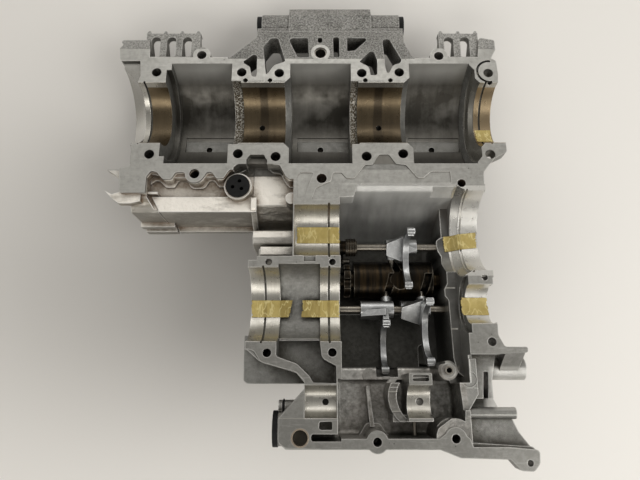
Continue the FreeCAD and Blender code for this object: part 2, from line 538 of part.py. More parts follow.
def fork(rod_y, centre, inner, tilt, plate_x, boss_left, boss_right, pin_x):
    """Shift fork on its rod: sleeve, arm, C-shaped claw opening upwards, fan-shaped web and a small rib."""
    outer = inner + fork_band
    x0, x1 = plate_x - fork_plate / 2, plate_x + fork_plate / 2
    claw = ring(x0, x1, centre[0], centre[1], outer, inner)
    mouth = [centre + (0.0,)]
    reach = outer * 2.2
    for spread in (tilt - 84, tilt - 30, tilt + 30, tilt + 84):
        mouth.append(on_wall(centre, spread, reach))
    claw = claw.cut(profile(mouth, x0 - 1, x1 + 1))
    lean = math.degrees(math.atan2(rod_y - centre[0], centre[1] - rod_z))
    side = math.radians(lean)
    across = (math.cos(side), math.sin(side))
    near = (rod_y, rod_z)
    middle = on_wall(near, lean, math.hypot(centre[0] - rod_y, centre[1] - rod_z) - inner - fork_band / 2)
    half = 13.0
    arm = profile([(near[0] + 6.5 * across[0], near[1] + 6.5 * across[1]),
                   (middle[0] + half * across[0], middle[1] + half * across[1]),
                   (middle[0] - half * across[0], middle[1] - half * across[1]),
                   (near[0] - 6.5 * across[0], near[1] - 6.5 * across[1])], x0, x1)
    arm = arm.cut(rod(x0 - 1, x1 + 1, centre[0], centre[1], inner + 0.5))
    sleeve = rod(boss_left, boss_right, rod_y, rod_z, fork_boss_radius)
    ribs = []
    for end, wide, narrow in ((boss_left, fork_fan, 5.6), (boss_right - 2, 5.5, 1.2)):
        corners = [vec(end, side_way * narrow * across[0] + near[0], side_way * narrow * across[1] + near[1])
                   for side_way in (1, -1)]
        corners += [vec(plate_x, side_way * wide * across[0] + near[0], side_way * wide * across[1] + near[1])
                    for side_way in (-1, 1)]
        face = Part.Face(Part.makePolygon(corners + corners[:1]))
        up = on_wall((0, 0), lean, 1.0)
        rib = face.extrude(vec(0, up[0] * fork_fan_height, up[1] * fork_fan_height))
        start = fork_boss_radius - fork_fan_height
        rib.translate(vec(0, up[0] * start, up[1] * start))
        ribs.append(rib)
    tips = []
    for spread in (tilt - 90, tilt + 90):
        spot = on_wall(centre, spread, inner + fork_band / 2)
        tips.append(rod(plate_x - fork_tip_half, plate_x + fork_tip_half, spot[0], spot[1], fork_band / 2))
    toward = FreeCAD.Vector(0, drum_y - rod_y, drum_z - rod_z)
    toward.normalize()
    stub = Part.makeCylinder(5.2, 11.0, vec(pin_x, rod_y, rod_z), toward)
    body = fuse([claw, arm, sleeve, stub] + ribs + tips)
    ends = sorted((boss_left, boss_right, x0, x1))
    body = body.cut(rod(ends[0] - 2, ends[-1] + 2, rod_y, rod_z, rod_radius + rod_clearance))
    foot = vec(pin_x, rod_y, rod_z) + toward * 7.0
    pin = Part.makeCylinder(pin_radius, 11.0, foot, toward)
    return body.cut(pin).removeSplitter(), pin


FORKS = {
    "fork_front": dict(rod_y=front_rod_y, centre=(-136.0, -13.0), inner=21.0, tilt=30, plate_x=78.0,
                       boss_left=61.5, boss_right=89.5, pin_x=67.0),
    "fork_rear_left": dict(rod_y=rear_rod_y, centre=(-209.5, -42.0), inner=18.6, tilt=25, plate_x=58.0,
                           boss_left=36.5, boss_right=66.0, pin_x=60.5),
    "fork_rear_right": dict(rod_y=rear_rod_y, centre=(-199.3, -12.0), inner=21.8, tilt=10, plate_x=92.0,
                            boss_left=73.0, boss_right=99.0, pin_x=93.5),
}
TRAVEL_SIGN = {"fork_front": -1, "fork_rear_left": 1, "fork_rear_right": 1}


def fork_path(name):
    """Room that a fork's claw needs over its whole travel, cut from the boss beside it."""
    plan = FORKS[name]
    reach = fork_tip_half + fork_travel + fork_relief
    return rod(plan["plate_x"] - reach, plan["plate_x"] + reach, plan["centre"][0], plan["centre"][1],
               plan["inner"] + fork_band + fork_relief)


def cam_groove(name):
    """Cutter for one helical groove; the fork moves its travel while the drum makes its half turn."""
    plan = FORKS[name]
    rise_per_turn = fork_travel / drum_half_turn_deg * 360.0 * TRAVEL_SIGN[name]
    sweep = drum_half_turn_deg + 17.0
    start_angle = math.degrees(math.atan2(rod_z - drum_z, plan["rod_y"] - drum_y))
    length = abs(rise_per_turn) * 2 * sweep / 360.0
    helix = Part.makeHelix(abs(rise_per_turn), length, drum_radius, 0, rise_per_turn > 0)
    half = groove_width / 2
    inside, outside = drum_radius - groove_depth, drum_radius + 1.5
    section = Part.makePolygon([vec(inside, 0, -half), vec(outside, 0, -half), vec(outside, 0, half),
                                vec(inside, 0, half), vec(inside, 0, -half)])
    sweep_tool = Part.Wire(helix.Edges).makePipeShell([section], True, True)
    sweep_tool.rotate(vec(0, 0, 0), vec(1, 1, 1), 120)
    turned = start_angle - sweep if rise_per_turn < 0 else start_angle + sweep
    sweep_tool.rotate(vec(0, 0, 0), X_AXIS, turned)
    sweep_tool.translate(vec(plan["pin_x"] - length / 2, drum_y, drum_z))
    return sweep_tool


def shift_drum():
    drum = rod(drum_left, drum_right, drum_y, drum_z, drum_radius)
    drum = drum.fuse(rod(28, drum_left, drum_y, drum_z, 10)).fuse(rod(6.5, 28, drum_y, drum_z, journal_radius))
    drum = drum.fuse(rod(drum_right, 119.5, drum_y, drum_z, journal_radius))
    window = post(74, drum_y - 2, 8.6, drum_z + drum_radius + 2, drum_z + drum_radius - 6)
    return drum.cut([cam_groove(name) for name in FORKS] + [window])


def star_cam():
    star = rod(22, 28, drum_y, drum_z, star_radius)
    notches = []
    for k in range(6):
        y, z = on_wall((drum_y, drum_z), 60 * k + 20, star_radius + 2.0)
        notches.append(rod(21, 29, y, z, 5.2))
    return star.cut(notches + [rod(21, 29, drum_y, drum_z, journal_radius)])


def detent():
    """Arm that rides on the front rod with its roller held just clear of the star."""
    gap = star_radius + roller_radius + 0.15
    roller_y, roller_z = drum_y + gap * math.cos(0.17), drum_z - gap * math.sin(0.17)
    arm = profile([(front_rod_y - 6, rod_z - 2), (front_rod_y + 6, rod_z - 2), (roller_y + 4, roller_z - 1),
                   (roller_y - 2, roller_z - 3)], 17.6, 21.6)
    arm = fuse([arm, rod(17.6, 34, front_rod_y, rod_z, 6.6), rod(17.6, 21.6, roller_y, roller_z, 4.6),
                rod(21.6, 28.6, roller_y, roller_z, 1.5)])
    arm = arm.cut(rod(10, 40, front_rod_y, rod_z, rod_radius + rod_clearance))
    roller = ring(22, 27.6, roller_y, roller_z, roller_radius, 1.5)
    spring = fuse([ring(23.6 + 2.4 * k, 25.6 + 2.4 * k, front_rod_y, rod_z, 8.4, 6.6) for k in range(4)]
                  + [rod(23.6, 32.8, front_rod_y + 7.5, rod_z, 0.9)])
    return arm.removeSplitter(), roller, spring


def seat_tape(path, axis_y, front_y):
    """Strip of masking tape in a bearing seat; path lists (x, radius) of the surface that it lies on."""
    outer = [vec(x, axis_y, 0.01 - radius) for x, radius in path]
    inner = [point + vec(0, 0, tape_thickness) for point in reversed(outer)]
    band = Part.Face(Part.makePolygon(outer + inner + outer[:1])).revolve(vec(0, axis_y, 0), X_AXIS, 360)
    return band.common(box(-100, 200, front_y - tape_width, front_y, -60, -0.5))


def hexagon(x, y, flats, top, bottom):
    points = []
    for k in range(6):
        turn = math.radians(60 * k)
        points.append((x + flats / math.sqrt(3) * math.cos(turn), y + flats / math.sqrt(3) * math.sin(turn)))
    return plate(points, top, bottom)


def casting():
    solid = fuse(crank_outside() + deck())
    for group in (rear_left_block(), lug_combs(), gearbox_outside(), shaft_housings(), rear_section(), wing(),
                  front_mount()):
        solid = solid.fuse(fuse(group))
    holes = crank_cavities() + gearbox_cavities() + bolt_cutters()
    holes += [plate(points, 2, -60) for points in LATTICE_HOLES]
    holes += [plate(points, 2, -recess_depth) for points in FACE_RECESSES]
    holes.append(taper(160, 174, -229, -30, 3.0, 7.0))
    holes.append(post(120.5, -238.5, 6.0, -5.5, -7.5))
    holes.append(rod(mount_left - 1, mount_right + 1, mount_axis_y, mount_axis_z, mount_tube_bore))
    return solid.cut(holes)


def fittings():
    """Every separate small piece by its node name."""
    parts = {
        "front_fork_rod": rod(10.5, 115.5, front_rod_y, rod_z, rod_radius),
        "rear_fork_rod": rod(10.5, 115.5, rear_rod_y, rod_z, rod_radius),
        "drum_star": star_cam(),
        "shift_drum": shift_drum(),
    }
    for name, plan in FORKS.items():
        parts[name], parts[name + "_pin"] = fork(**plan)
    parts["detent_arm"], parts["detent_roller"], parts["detent_spring"] = detent()
    parts["front_mount_sleeve"] = ring(mount_left - mount_bush_lip, mount_right + mount_bush_lip, mount_axis_y,
                                       mount_axis_z, mount_sleeve_radius, mount_bolt_radius)
    for side, start, lip in (("left", mount_left, mount_left - mount_bush_lip),
                             ("right", mount_right - mount_bush_length, mount_right)):
        bush = rod(start, start + mount_bush_length, mount_axis_y, mount_axis_z, mount_tube_bore)
        bush = bush.fuse(rod(lip, lip + mount_bush_lip, mount_axis_y, mount_axis_z, mount_lip_radius))
        parts["front_bush_" + side] = bush.cut(rod(-90, 90, mount_axis_y, mount_axis_z, mount_sleeve_radius))
    cap = rod(rear_boss_left - 4, rear_boss_left, rear_axis_y, rear_axis_z, rear_cap_radius)
    cap = cap.fuse(rod(rear_boss_left, rear_bush_end, rear_axis_y, rear_axis_z, rear_bush_radius))
    parts["rear_bush"] = cap.cut(rod(-60, 0, rear_axis_y, rear_axis_z, 4.2))
    parts["spigot_ring"] = Part.makeTorus(spigot_radius, 0.8, vec(-29.9, spigot_y, spigot_z), X_AXIS)
    grommet = post(grommet_x, grommet_y, grommet_radius, -2.8, -5)
    grommet = grommet.fuse(post(grommet_x, grommet_y, 9.0, -5, -29))
    holes = [post(grommet_x + 4.6 * math.cos(a), grommet_y + 4.6 * math.sin(a), 1.7, 0, -30)
             for a in (math.radians(72), math.radians(196), math.radians(320))]
    parts["cable_grommet"] = grommet.cut(holes)
    parts["rear_dowel"] = post(-16, -282.5, 7.0, 0.6, -8.5).cut(post(-16, -282.5, 5.9, 2, -9))
    parts["front_dowel"] = post(0, 63.5, 6.0, -1.2, -16).cut(post(0, 63.5, 5.0, 0, -17))
    parts["plate_bush"] = post(plate_bush_x, plate_bush_y, 3.4, 0.4, -14).cut(
        post(plate_bush_x, plate_bush_y, 2.2, 1, -15))
    for node, x0, x1, axis_y, radius, front_y in (
            ("tape_crank_right", 150.2, 166.3, 0, seat_radius, -2.5),
            ("tape_input_left", -22, 17.4, input_axis_y, input_left_radius, -104.9),
            ("tape_output_outer", -61.4, -25, output_axis_y, output_left_radius, -170.3),
            ("tape_output_inner", -16, 16.8, output_axis_y, output_left_radius, -170.3),
            ("tape_output_right", 120.5, 142.9, output_axis_y, output_right_radius, -170.5)):
        parts[node] = seat_tape([(x0, radius), (x1, radius)], axis_y, front_y)
    draped = [(114, input_right_radius + input_cone_rise - 0.1),
              (input_cone_left, input_right_radius + input_cone_rise - 0.1),
              (input_cone_right - 1.1, input_right_radius + input_cone_lip + 0.4),
              (input_cone_right - 0.2, input_right_radius), (145.2, input_right_radius)]
    parts["tape_input_right"] = seat_tape(draped, input_axis_y, -108.5)
    for name, x in (("left", -cylinder_pitch), ("middle", 0.0), ("right", cylinder_pitch)):
        washer = post(x, drain_y, drain_radius + 3.2, DRAIN_SEAT, DRAIN_SEAT - 1.0)
        parts["drain_washer_" + name] = washer.cut(post(x, drain_y, drain_radius, DRAIN_SEAT + 1, DRAIN_SEAT - 2))
        parts["drain_screw_" + name] = post(x, drain_y, drain_radius, DRAIN_SEAT + 7, DRAIN_SEAT - 1.0).fuse(
            hexagon(x, drain_y, 10.0, DRAIN_SEAT - 1.0, DRAIN_SEAT - 6.0))
    parts["sump_washer"] = post(60, -205, 10.5, -91, -92.2).cut(post(60, -205, 6.0, -90, -93))
    parts["sump_plug"] = post(60, -205, 6.0, -76, -92.2).fuse(hexagon(60, -205, 17.0, -92.2, -95.8))
    parts["stop_pin"] = Part.makeCylinder(1.6, 15.0, vec(77.2, -267.2, -24), vec(0, -1, 0))
    return parts


def save(shape, node):
    shape.exportStep("parts/" + node + ".step")


os.makedirs("parts", exist_ok=True)
save(casting(), "crankcase_lower")
for node, shape in fittings().items():
    save(shape, node)
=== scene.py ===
import json
import math
import bpy
import numpy as np
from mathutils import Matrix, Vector


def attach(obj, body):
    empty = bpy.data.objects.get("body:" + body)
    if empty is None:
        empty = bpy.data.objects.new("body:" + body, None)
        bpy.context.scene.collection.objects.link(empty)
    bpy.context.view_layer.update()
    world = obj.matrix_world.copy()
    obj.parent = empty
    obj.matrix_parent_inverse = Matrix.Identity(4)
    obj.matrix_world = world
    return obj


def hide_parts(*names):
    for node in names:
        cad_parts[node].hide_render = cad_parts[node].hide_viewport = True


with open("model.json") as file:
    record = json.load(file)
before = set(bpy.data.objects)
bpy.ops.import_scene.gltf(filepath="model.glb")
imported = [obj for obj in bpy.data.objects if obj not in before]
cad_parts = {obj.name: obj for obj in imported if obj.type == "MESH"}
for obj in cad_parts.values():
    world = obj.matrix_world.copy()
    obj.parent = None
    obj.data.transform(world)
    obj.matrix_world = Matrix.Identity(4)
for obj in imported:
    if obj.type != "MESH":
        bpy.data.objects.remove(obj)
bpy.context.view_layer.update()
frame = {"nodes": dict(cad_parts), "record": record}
print("stage: frame loaded")

# a shader socket that can be added, multiplied and compared like a number
class Wire:
    def __init__(self, tree, socket):
        self.tree = tree
        self.socket = socket

    def math(self, kind, *others, clamp=False):
        node = self.tree.nodes.new("ShaderNodeMath")
        node.operation = kind
        node.use_clamp = clamp
        for slot, value in zip(node.inputs, (self,) + others):
            if isinstance(value, Wire):
                self.tree.links.new(value.socket, slot)
            else:
                slot.default_value = value
        return Wire(self.tree, node.outputs[0])

    def __add__(self, other):
        return self.math("ADD", other)

    def __radd__(self, other):
        return self.math("ADD", other)

    def __sub__(self, other):
        return self.math("SUBTRACT", other)

    def __rsub__(self, other):
        return (self * -1.0) + other

    def __mul__(self, other):
        return self.math("MULTIPLY", other)

    def __rmul__(self, other):
        return self.math("MULTIPLY", other)

    def __truediv__(self, other):
        return self.math("DIVIDE", other)

    # 0 below edge and 1 above it, with a soft change between
    def above(self, edge, soft):
        return ((self - edge) / soft + 0.5).math("MULTIPLY", 1.0, clamp=True)

    def below(self, edge, soft):
        return 1.0 - self.above(edge, soft)

    def between(self, low, high, soft):
        return self.above(low, soft) * self.below(high, soft)

    def least(self, other):
        return self.math("MINIMUM", other)


# one material being built: sockets for position and facing, noises, and the shader at the end
class Surface:
    def __init__(self, name):
        self.material = bpy.data.materials.new(name)
        self.material.use_nodes = True
        self.tree = self.material.node_tree
        self.shader = next(n for n in self.tree.nodes if n.type == "BSDF_PRINCIPLED")
        geometry = self.tree.nodes.new("ShaderNodeNewGeometry")
        self.coords = self.tree.nodes.new("ShaderNodeTexCoord").outputs["Object"]
        self.x, self.y, self.z = self.split(self.coords)
        self.mm = [axis * 1000.0 for axis in (self.x, self.y, self.z)]
        self.nx, self.ny, self.nz = self.split(geometry.outputs["Normal"])

    def split(self, socket):
        node = self.tree.nodes.new("ShaderNodeSeparateXYZ")
        self.tree.links.new(socket, node.inputs[0])
        return [Wire(self.tree, out) for out in node.outputs]

    def join(self, x, y, z):
        node = self.tree.nodes.new("ShaderNodeCombineXYZ")
        for slot, value in zip(node.inputs, (x, y, z)):
            if isinstance(value, Wire):
                self.tree.links.new(value.socket, slot)
            else:
                slot.default_value = value
        return node.outputs[0]

    def noise(self, scale, detail=3.0, rough=0.55, stretch=(1.0, 1.0, 1.0), shift=0.0):
        node = self.tree.nodes.new("ShaderNodeTexNoise")
        node.inputs["Scale"].default_value = scale
        node.inputs["Detail"].default_value = detail
        node.inputs["Roughness"].default_value = rough
        point = self.join(self.x * stretch[0] + shift, self.y * stretch[1], self.z * stretch[2])
        self.tree.links.new(point, node.inputs["Vector"])
        return Wire(self.tree, node.outputs[0])

    def cells(self, scale, shift=0.0):
        node = self.tree.nodes.new("ShaderNodeTexVoronoi")
        node.inputs["Scale"].default_value = scale
        self.tree.links.new(self.join(self.x + shift, self.y, self.z), node.inputs["Vector"])
        return Wire(self.tree, node.outputs["Distance"])

    # 0 in the open and 1 deep in a corner
    def crease(self, reach):
        node = self.tree.nodes.new("ShaderNodeAmbientOcclusion")
        node.samples = 8
        node.inputs["Distance"].default_value = reach
        return 1.0 - Wire(self.tree, node.outputs["AO"])

    # 0 on a flat face and more towards an outside edge
    def rim(self, reach):
        node = self.tree.nodes.new("ShaderNodeAmbientOcclusion")
        node.samples = 6
        node.inside = True
        node.inputs["Distance"].default_value = reach
        return 1.0 - Wire(self.tree, node.outputs["AO"])

    def mix(self, amount, first, second):
        node = self.tree.nodes.new("ShaderNodeMix")
        node.data_type = "RGBA"
        slots = [s for s in node.inputs if s.enabled]
        for slot, value in zip(slots, (amount, first, second)):
            if isinstance(value, Wire):
                self.tree.links.new(value.socket, slot)
            elif isinstance(value, tuple):
                slot.default_value = value + (1.0,)
            else:
                slot.default_value = value
        return Wire(self.tree, next(o for o in node.outputs if o.enabled))

    def bump(self, height, depth, edge=0.0):
        node = self.tree.nodes.new("ShaderNodeBump")
        node.inputs["Distance"].default_value = depth
        self.tree.links.new(height.socket, node.inputs["Height"])
        if edge:
            bevel = self.tree.nodes.new("ShaderNodeBevel")
            bevel.samples = 4
            bevel.inputs["Radius"].default_value = edge
            self.tree.links.new(bevel.outputs[0], node.inputs["Normal"])
        self.tree.links.new(node.outputs[0], self.shader.inputs["Normal"])

    def finish(self, color=None, rough=None, metal=None):
        for label, value in (("Base Color", color), ("Roughness", rough), ("Metallic", metal)):
            if value is None:
                continue
            slot = self.shader.inputs[label]
            if isinstance(value, Wire):
                self.tree.links.new(value.socket, slot)
            elif isinstance(value, tuple):
                slot.default_value = value + (1.0,)
            else:
                slot.default_value = value
        return self.material


caseLook = {
    "milled": (0.42, 0.415, 0.39), "milledDark": (0.25, 0.245, 0.228), "cast": (0.34, 0.338, 0.32),
    "castDark": (0.17, 0.167, 0.155), "bored": (0.54, 0.525, 0.48), "boredDark": (0.32, 0.305, 0.27),
    "edge": (0.72, 0.71, 0.68), "varnish": (0.185, 0.138, 0.078), "varnishDark": (0.050, 0.036, 0.020),
    "varnishLight": (0.33, 0.25, 0.15), "stain": (0.15, 0.092, 0.048), "sand": (0.50, 0.492, 0.465),
    "sandDark": (0.085, 0.083, 0.076), "blasted": (0.90, 0.86, 0.79), "blastedDark": (0.27, 0.245, 0.205),
    "inside": (0.50, 0.49, 0.465), "wall": (0.57, 0.567, 0.545), "shadeGrey": (0.19, 0.188, 0.178),
    "ledge": (0.105, 0.103, 0.097), "oil": (0.026, 0.025, 0.021), "creaseShadeAndStain": (0.075, 0.070, 0.058),
    "turned": (0.19, 0.182, 0.164), "turnedDark": (0.040, 0.037, 0.031),
    "millRough": 0.40, "castRough": 0.46, "boreRough": 0.30, "metal": 0.88,
}
# where the differently made faces of the casting lie, in millimetres
caseAt = {
    "deckFront": 57.0, "cornerFront": 68.0, "latticeX": (-88.0, 90.0), "latticeBossY": 63.5, "latticeBossR": 9.4,
    "recessY": (-90.0, -57.0), "crankX": (-172.0, 168.0), "mouthX": -171.3, "rightX": 119.0,
    "inputY": -113.5, "outputY": -177.8, "kickY": -255.5, "shaftsFront": -70.0,
    "blockX": -20.0, "blockY": (-141.0, -57.0), "sumpX": (16.0, 122.0), "sumpY": (-241.0, -71.0), "wallY": -103.0,
    "trayX": (12.0, 118.0), "trayY": (-291.0, -227.0), "dowelX": -16.0, "dowelY": -282.5, "dowelR": 6.2,
}


# distance in millimetres from a line along X
def radiusFrom(surface, y, z):
    dy, dz = surface.mm[1] - y, surface.mm[2] - z
    return (dy * dy + dz * dz).math("SQRT")


# masks from 0 to 1, by place in millimetres and by facing, for the ways that the casting's faces were made and for
# where shade is painted
def caseZones(s):
    at = caseAt
    x, y, z = s.mm
    up, across = s.nz.above(0.9, 0.05), s.nx.between(-0.3, 0.3, 0.1)
    ring = radiusFrom(s, 0.0, 0.0)  # from the crankshaft's axis
    right = x.above(at["rightX"], 0.5)
    corners = y.below(at["cornerFront"], 0.6) * (1.0 - x.between(*at["latticeX"], 1.0))
    zone = {
        "top": z.above(-0.15, 0.1) * up * (y.below(at["deckFront"], 0.6) + corners).least(1.0),
        "sunk": z.between(-1.3, -0.3, 0.1) * up * y.between(*at["recessY"], 1.0),
        "crank": ring.between(30.5, 31.4, 0.1) * x.between(*at["crankX"], 0.5) * across,
        "rough": ring.between(32.0, 33.2, 0.1) * x.between(-90.0, 60.0, 0.5) * across,
        "bay": ring.between(33.5, 52.4, 0.2) * y.above(-52.0, 0.5) * z.above(-52.6, 0.2) * across,
        "mouth": x.below(at["mouthX"], 0.2) * ring.between(30.0, 53.0, 0.3) * s.nz.above(0.02, 0.05),
        "cone": x.between(144.5, 150.0, 0.2) * ring.between(31.3, 46.0, 0.2),
        "shaft": (radiusFrom(s, at["inputY"], 0.0).between(22.6, 23.3, 0.1) * (1.0 - right)
                  + radiusFrom(s, at["inputY"], 0.0).between(35.6, 40.7, 0.1) * right
                  + radiusFrom(s, at["outputY"], 0.0).between(30.4, 31.2, 0.1) * (1.0 - right)
                  + radiusFrom(s, at["outputY"], 0.0).between(15.9, 16.6, 0.1) * right
                  + radiusFrom(s, at["kickY"], 0.0).between(12.2, 12.8, 0.1)) * y.below(at["shaftsFront"], 1.0),
    }
    zone["seats"] = (zone["crank"] + zone["shaft"] + (zone["mouth"] + zone["cone"]) * (1.0 - zone["top"])).least(1.0)
    raw = 1.0 - (zone["top"] + zone["seats"] + zone["sunk"] * 0.7).least(1.0)
    bossY = y - at["latticeBossY"]
    boss = (x * x + bossY * bossY).math("SQRT").below(at["latticeBossR"], 0.3) * z.above(-0.15, 0.1)
    zone["top"] = (zone["top"] + boss).least(1.0)
    raw = raw * (1.0 - boss)
    zone["sand"] = y.above(at["deckFront"], 0.6) * raw
    zone["lattice"] = zone["sand"] * x.between(-90.0, 92.0, 1.0)
    zone["blasted"] = y.between(*at["blockY"], 1.0) * x.below(at["blockX"], 1.0) * z.below(-3.0, 1.0) * raw
    zone["slope"] = zone["blasted"] * s.ny.below(-0.14, 0.16) * z.below(-12.0, 2.0)
    outside = (s.nz.below(-0.3, 0.2) + s.nx.above(0.3, 0.2) * x.above(100.0, 2.0)
               + s.nx.below(-0.3, 0.2) * x.below(30.0, 2.0) + s.ny.below(-0.3, 0.2) * y.below(-228.0, 2.0)).least(1.0)
    zone["gearbox"] = x.between(*at["sumpX"], 1.0) * y.between(*at["sumpY"], 1.0) * raw * (1.0 - outside)
    zone["wall"] = zone["gearbox"] * y.above(at["wallY"], 8.0)
    zone["floor"] = zone["gearbox"] * z.below(-46.0, 30.0) * (1.0 - zone["wall"])
    zone["tray"] = x.between(*at["trayX"], 1.0) * y.between(*at["trayY"], 2.0) * raw * z.above(-60.0, 1.0)
    zone["ledge"] = x.between(104.0, 124.0, 1.0) * y.between(-241.0, -73.0, 1.0) * z.below(-20.0, 3.0) * up
    dowelX, dowelY = x - at["dowelX"], y - at["dowelY"]
    zone["hollow"] = (x.between(120.0, 165.0, 1.0) * y.between(-263.0, -240.0, 1.0) * z.below(-28.0, 3.0)
                      + x.between(50.0, 71.5, 0.5) * y.between(-272.0, -229.0, 0.5) * z.above(-14.0, 1.0) * up * 0.6
                      + (dowelX * dowelX + dowelY * dowelY).math("SQRT").below(at["dowelR"], 0.2))
    zone["wing"] = x.above(106.0, 1.0) * y.below(-258.0, 3.0) * raw
    zone["machined"] = 1.0 - raw
    return zone


# cast aluminium: milled faces, turned bays, varnished crank seats, blasted and sand-cast outsides
def caseMetal():
    look = caseLook
    s = Surface("caseMetal")
    x, y, z = s.mm
    zone = caseZones(s)
    up = s.nz.above(0.9, 0.05)
    patch = s.noise(30.0, 4.0, 0.6)
    broad = s.noise(13.0, 3.0, shift=3.1)
    fine = s.noise(240.0, 5.0, 0.65)
    speck = s.noise(1300.0, 3.0, 0.7)
    lathe = s.noise(1100.0, 2.0, 0.6, (3.0, 0.05, 0.05))
    streak = s.noise(70.0, 5.0, 0.7, (1.0, 0.12, 0.12), 1.7)
    scuff = s.noise(500.0, 3.0, 0.7, (0.06, 1.0, 1.0), 0.7).above(0.62, 0.08)
    grit = s.noise(620.0, 4.0, 0.75, (1.0, 1.0, 1.0), 2.9)
    corner = s.crease(0.014)
    rim = s.rim(0.0010)
    raw = 1.0 - zone["machined"]

    cast = s.mix(patch.between(0.40, 0.64, 0.25) * 0.5 + (fine - 0.5) * 0.9 + 0.1, look["cast"], look["castDark"])
    rough = s.mix((grit - 0.5) * 2.6 + (speck - 0.5) * 1.8 + (patch - 0.5) * 0.8 + 0.46 + zone["lattice"] * 0.16,
                  look["sand"], look["sandDark"])
    cast = s.mix(zone["sand"], cast, rough)
    molten = s.noise(55.0, 4.0, 0.6, (0.5, 1.4, 1.4), 4.4)
    blotches = (molten - 0.47) * 3.4 + (fine - 0.5) * 0.8
    # painted shade on the blasted block: faces turned from straight up darker, the faces sloping to the rear darker
    # still and greyer, the upward faces lighter; the blotches are its own tone
    blasted = s.mix(blotches + zone["slope"] * 0.55 + s.nz.below(0.9, 0.1) * 0.40 - up * 0.25,
                    look["blasted"], look["blastedDark"])
    blasted = s.mix(zone["slope"] * 0.45, blasted, look["cast"])
    cast = s.mix(zone["blasted"], cast, blasted)
    cast = s.mix(zone["gearbox"] * 0.85, cast, s.mix(patch.between(0.35, 0.65, 0.3), look["inside"], look["cast"]))
    smear = s.noise(26.0, 3.0, 0.6, (1.6, 0.6, 0.35), 6.2)
    # painted shade: the gearbox's front wall darker towards its foot and towards the right, with random smears
    lit = s.mix(z.below(-22.0, 46.0) * 0.75 + (smear - 0.5) * 1.5 + x.above(98.0, 22.0) * 0.3,
                look["wall"], look["shadeGrey"])
    cast = s.mix(zone["wall"] * (1.0 - up * 0.9), cast, lit)
    # painted light: the upward faces along the top of the gearbox's front wall made pale
    cast = s.mix(zone["wall"] * up * z.above(-8.0, 2.0), cast, look["blasted"])
    # painted shade: the gearbox floor made near-black, more so the deeper it lies, with some random tone
    cast = s.mix(zone["floor"] * (1.06 - fine * 0.30), cast, look["oil"])
    # painted shade: the top of the narrow ledge along the gearbox's right wall made dark grey, for the shading between
    # its scallops
    cast = s.mix(zone["ledge"] * (0.55 + patch * 0.7), cast, look["ledge"])
    mottled = s.mix((patch * 2.2 + fine * 1.6 - 1.36), look["inside"], look["castDark"])
    cast = s.mix(zone["tray"], cast, s.mix(broad.between(0.42, 0.60, 0.15) * 0.14, mottled, look["stain"]))
    # painted shade: near-black in the deep pocket at the right rear and in the dowel's bore, and darker on a patch of
    # upward faces near the rear
    cast = s.mix(zone["hollow"] * 0.85, cast, look["oil"])
    cast = s.mix(zone["wing"] * (fine * 1.6 - patch * 0.4 - 0.05), cast, look["castDark"])
    # painted highlight: a pale patch at the right rear, for the glints on small shapes that are not built
    cast = s.mix(x.above(140.0, 4.0) * y.between(-262.0, -228.0, 2.0) * (1.1 - patch), cast, look["edge"])

    # painted light in the crank bays: the front wall lighter, as if lit from the rear, and a painted dark reflection
    # over the front half of the floor, broken by random clouds and smears
    front = y.above(47.5, 6.0)
    cloud = s.noise(21.0, 3.0, 0.6, (1.0, 1.0, 1.0), 8.3)
    bayDarkReflection = y.between(6.0, 46.0, 20.0) * (cloud.below(0.54, 0.14) * 0.65 + 0.25) + (smear - 0.5) * 0.7
    turned = s.mix((bayDarkReflection + (streak - 0.5) * 0.9 + (fine - 0.5) * 0.4 + 0.12), look["turned"], look["turnedDark"])
    turned = s.mix(front * (patch * 0.7 + 0.3), turned, look["milled"])
    cast = s.mix(zone["bay"], cast, turned)
    chips = s.cells(700.0).above(0.50, 0.22)
    burnt = s.mix(fine * 0.7 + speck * 0.5, look["varnish"], look["oil"])
    cast = s.mix(zone["rough"], cast, s.mix(chips * 0.55, burnt, look["bored"]))
    # painted shade in creases and corners in dark grey, and brown stain in the creases behind the crank bays; less or
    # none on the bays, the gearbox, the tray and the sloping faces of the block
    creaseShadeAndDirt = (corner.above(0.34, 0.4) * (fine * 0.8 + patch * 0.8)).least(0.92)
    creaseShadeAndStain = s.mix(y.between(-98.0, -58.0, 8.0), look["creaseShadeAndStain"], look["stain"])
    noCreaseShade = (zone["bay"] + zone["gearbox"] * 0.8 + zone["tray"] * 0.6 + zone["slope"] * 0.7).least(1.0)
    cast = s.mix(creaseShadeAndDirt * (1.0 - noCreaseShade), cast, creaseShadeAndStain)

    # the milled faces darker towards the rear and lighter at the left end, with random tone
    rear = y.below(-140.0, 160.0) * 0.5
    deckTone = (fine - 0.5) * 1.3 + (patch - 0.5) * 1.3 + 0.27 + rear + (speck - 0.4) * 0.5
    face = s.mix(deckTone - x.below(-120.0, 40.0) * 0.20, look["milled"], look["milledDark"])
    face = s.mix(scuff * 0.16, face, look["edge"])
    pits = s.cells(150.0, 0.4).below(0.10, 0.05) * patch.above(0.54, 0.08)
    face = s.mix(pits * 0.6, face, look["oil"])
    bright = s.mix((lathe - 0.5) * 1.1 + streak * 0.5 + 0.1, look["bored"], look["boredDark"])
    bright = s.mix(x.above(117.0, 1.0) * y.below(-70.0, 1.0) * (0.35 + patch * 0.7), bright, look["edge"])
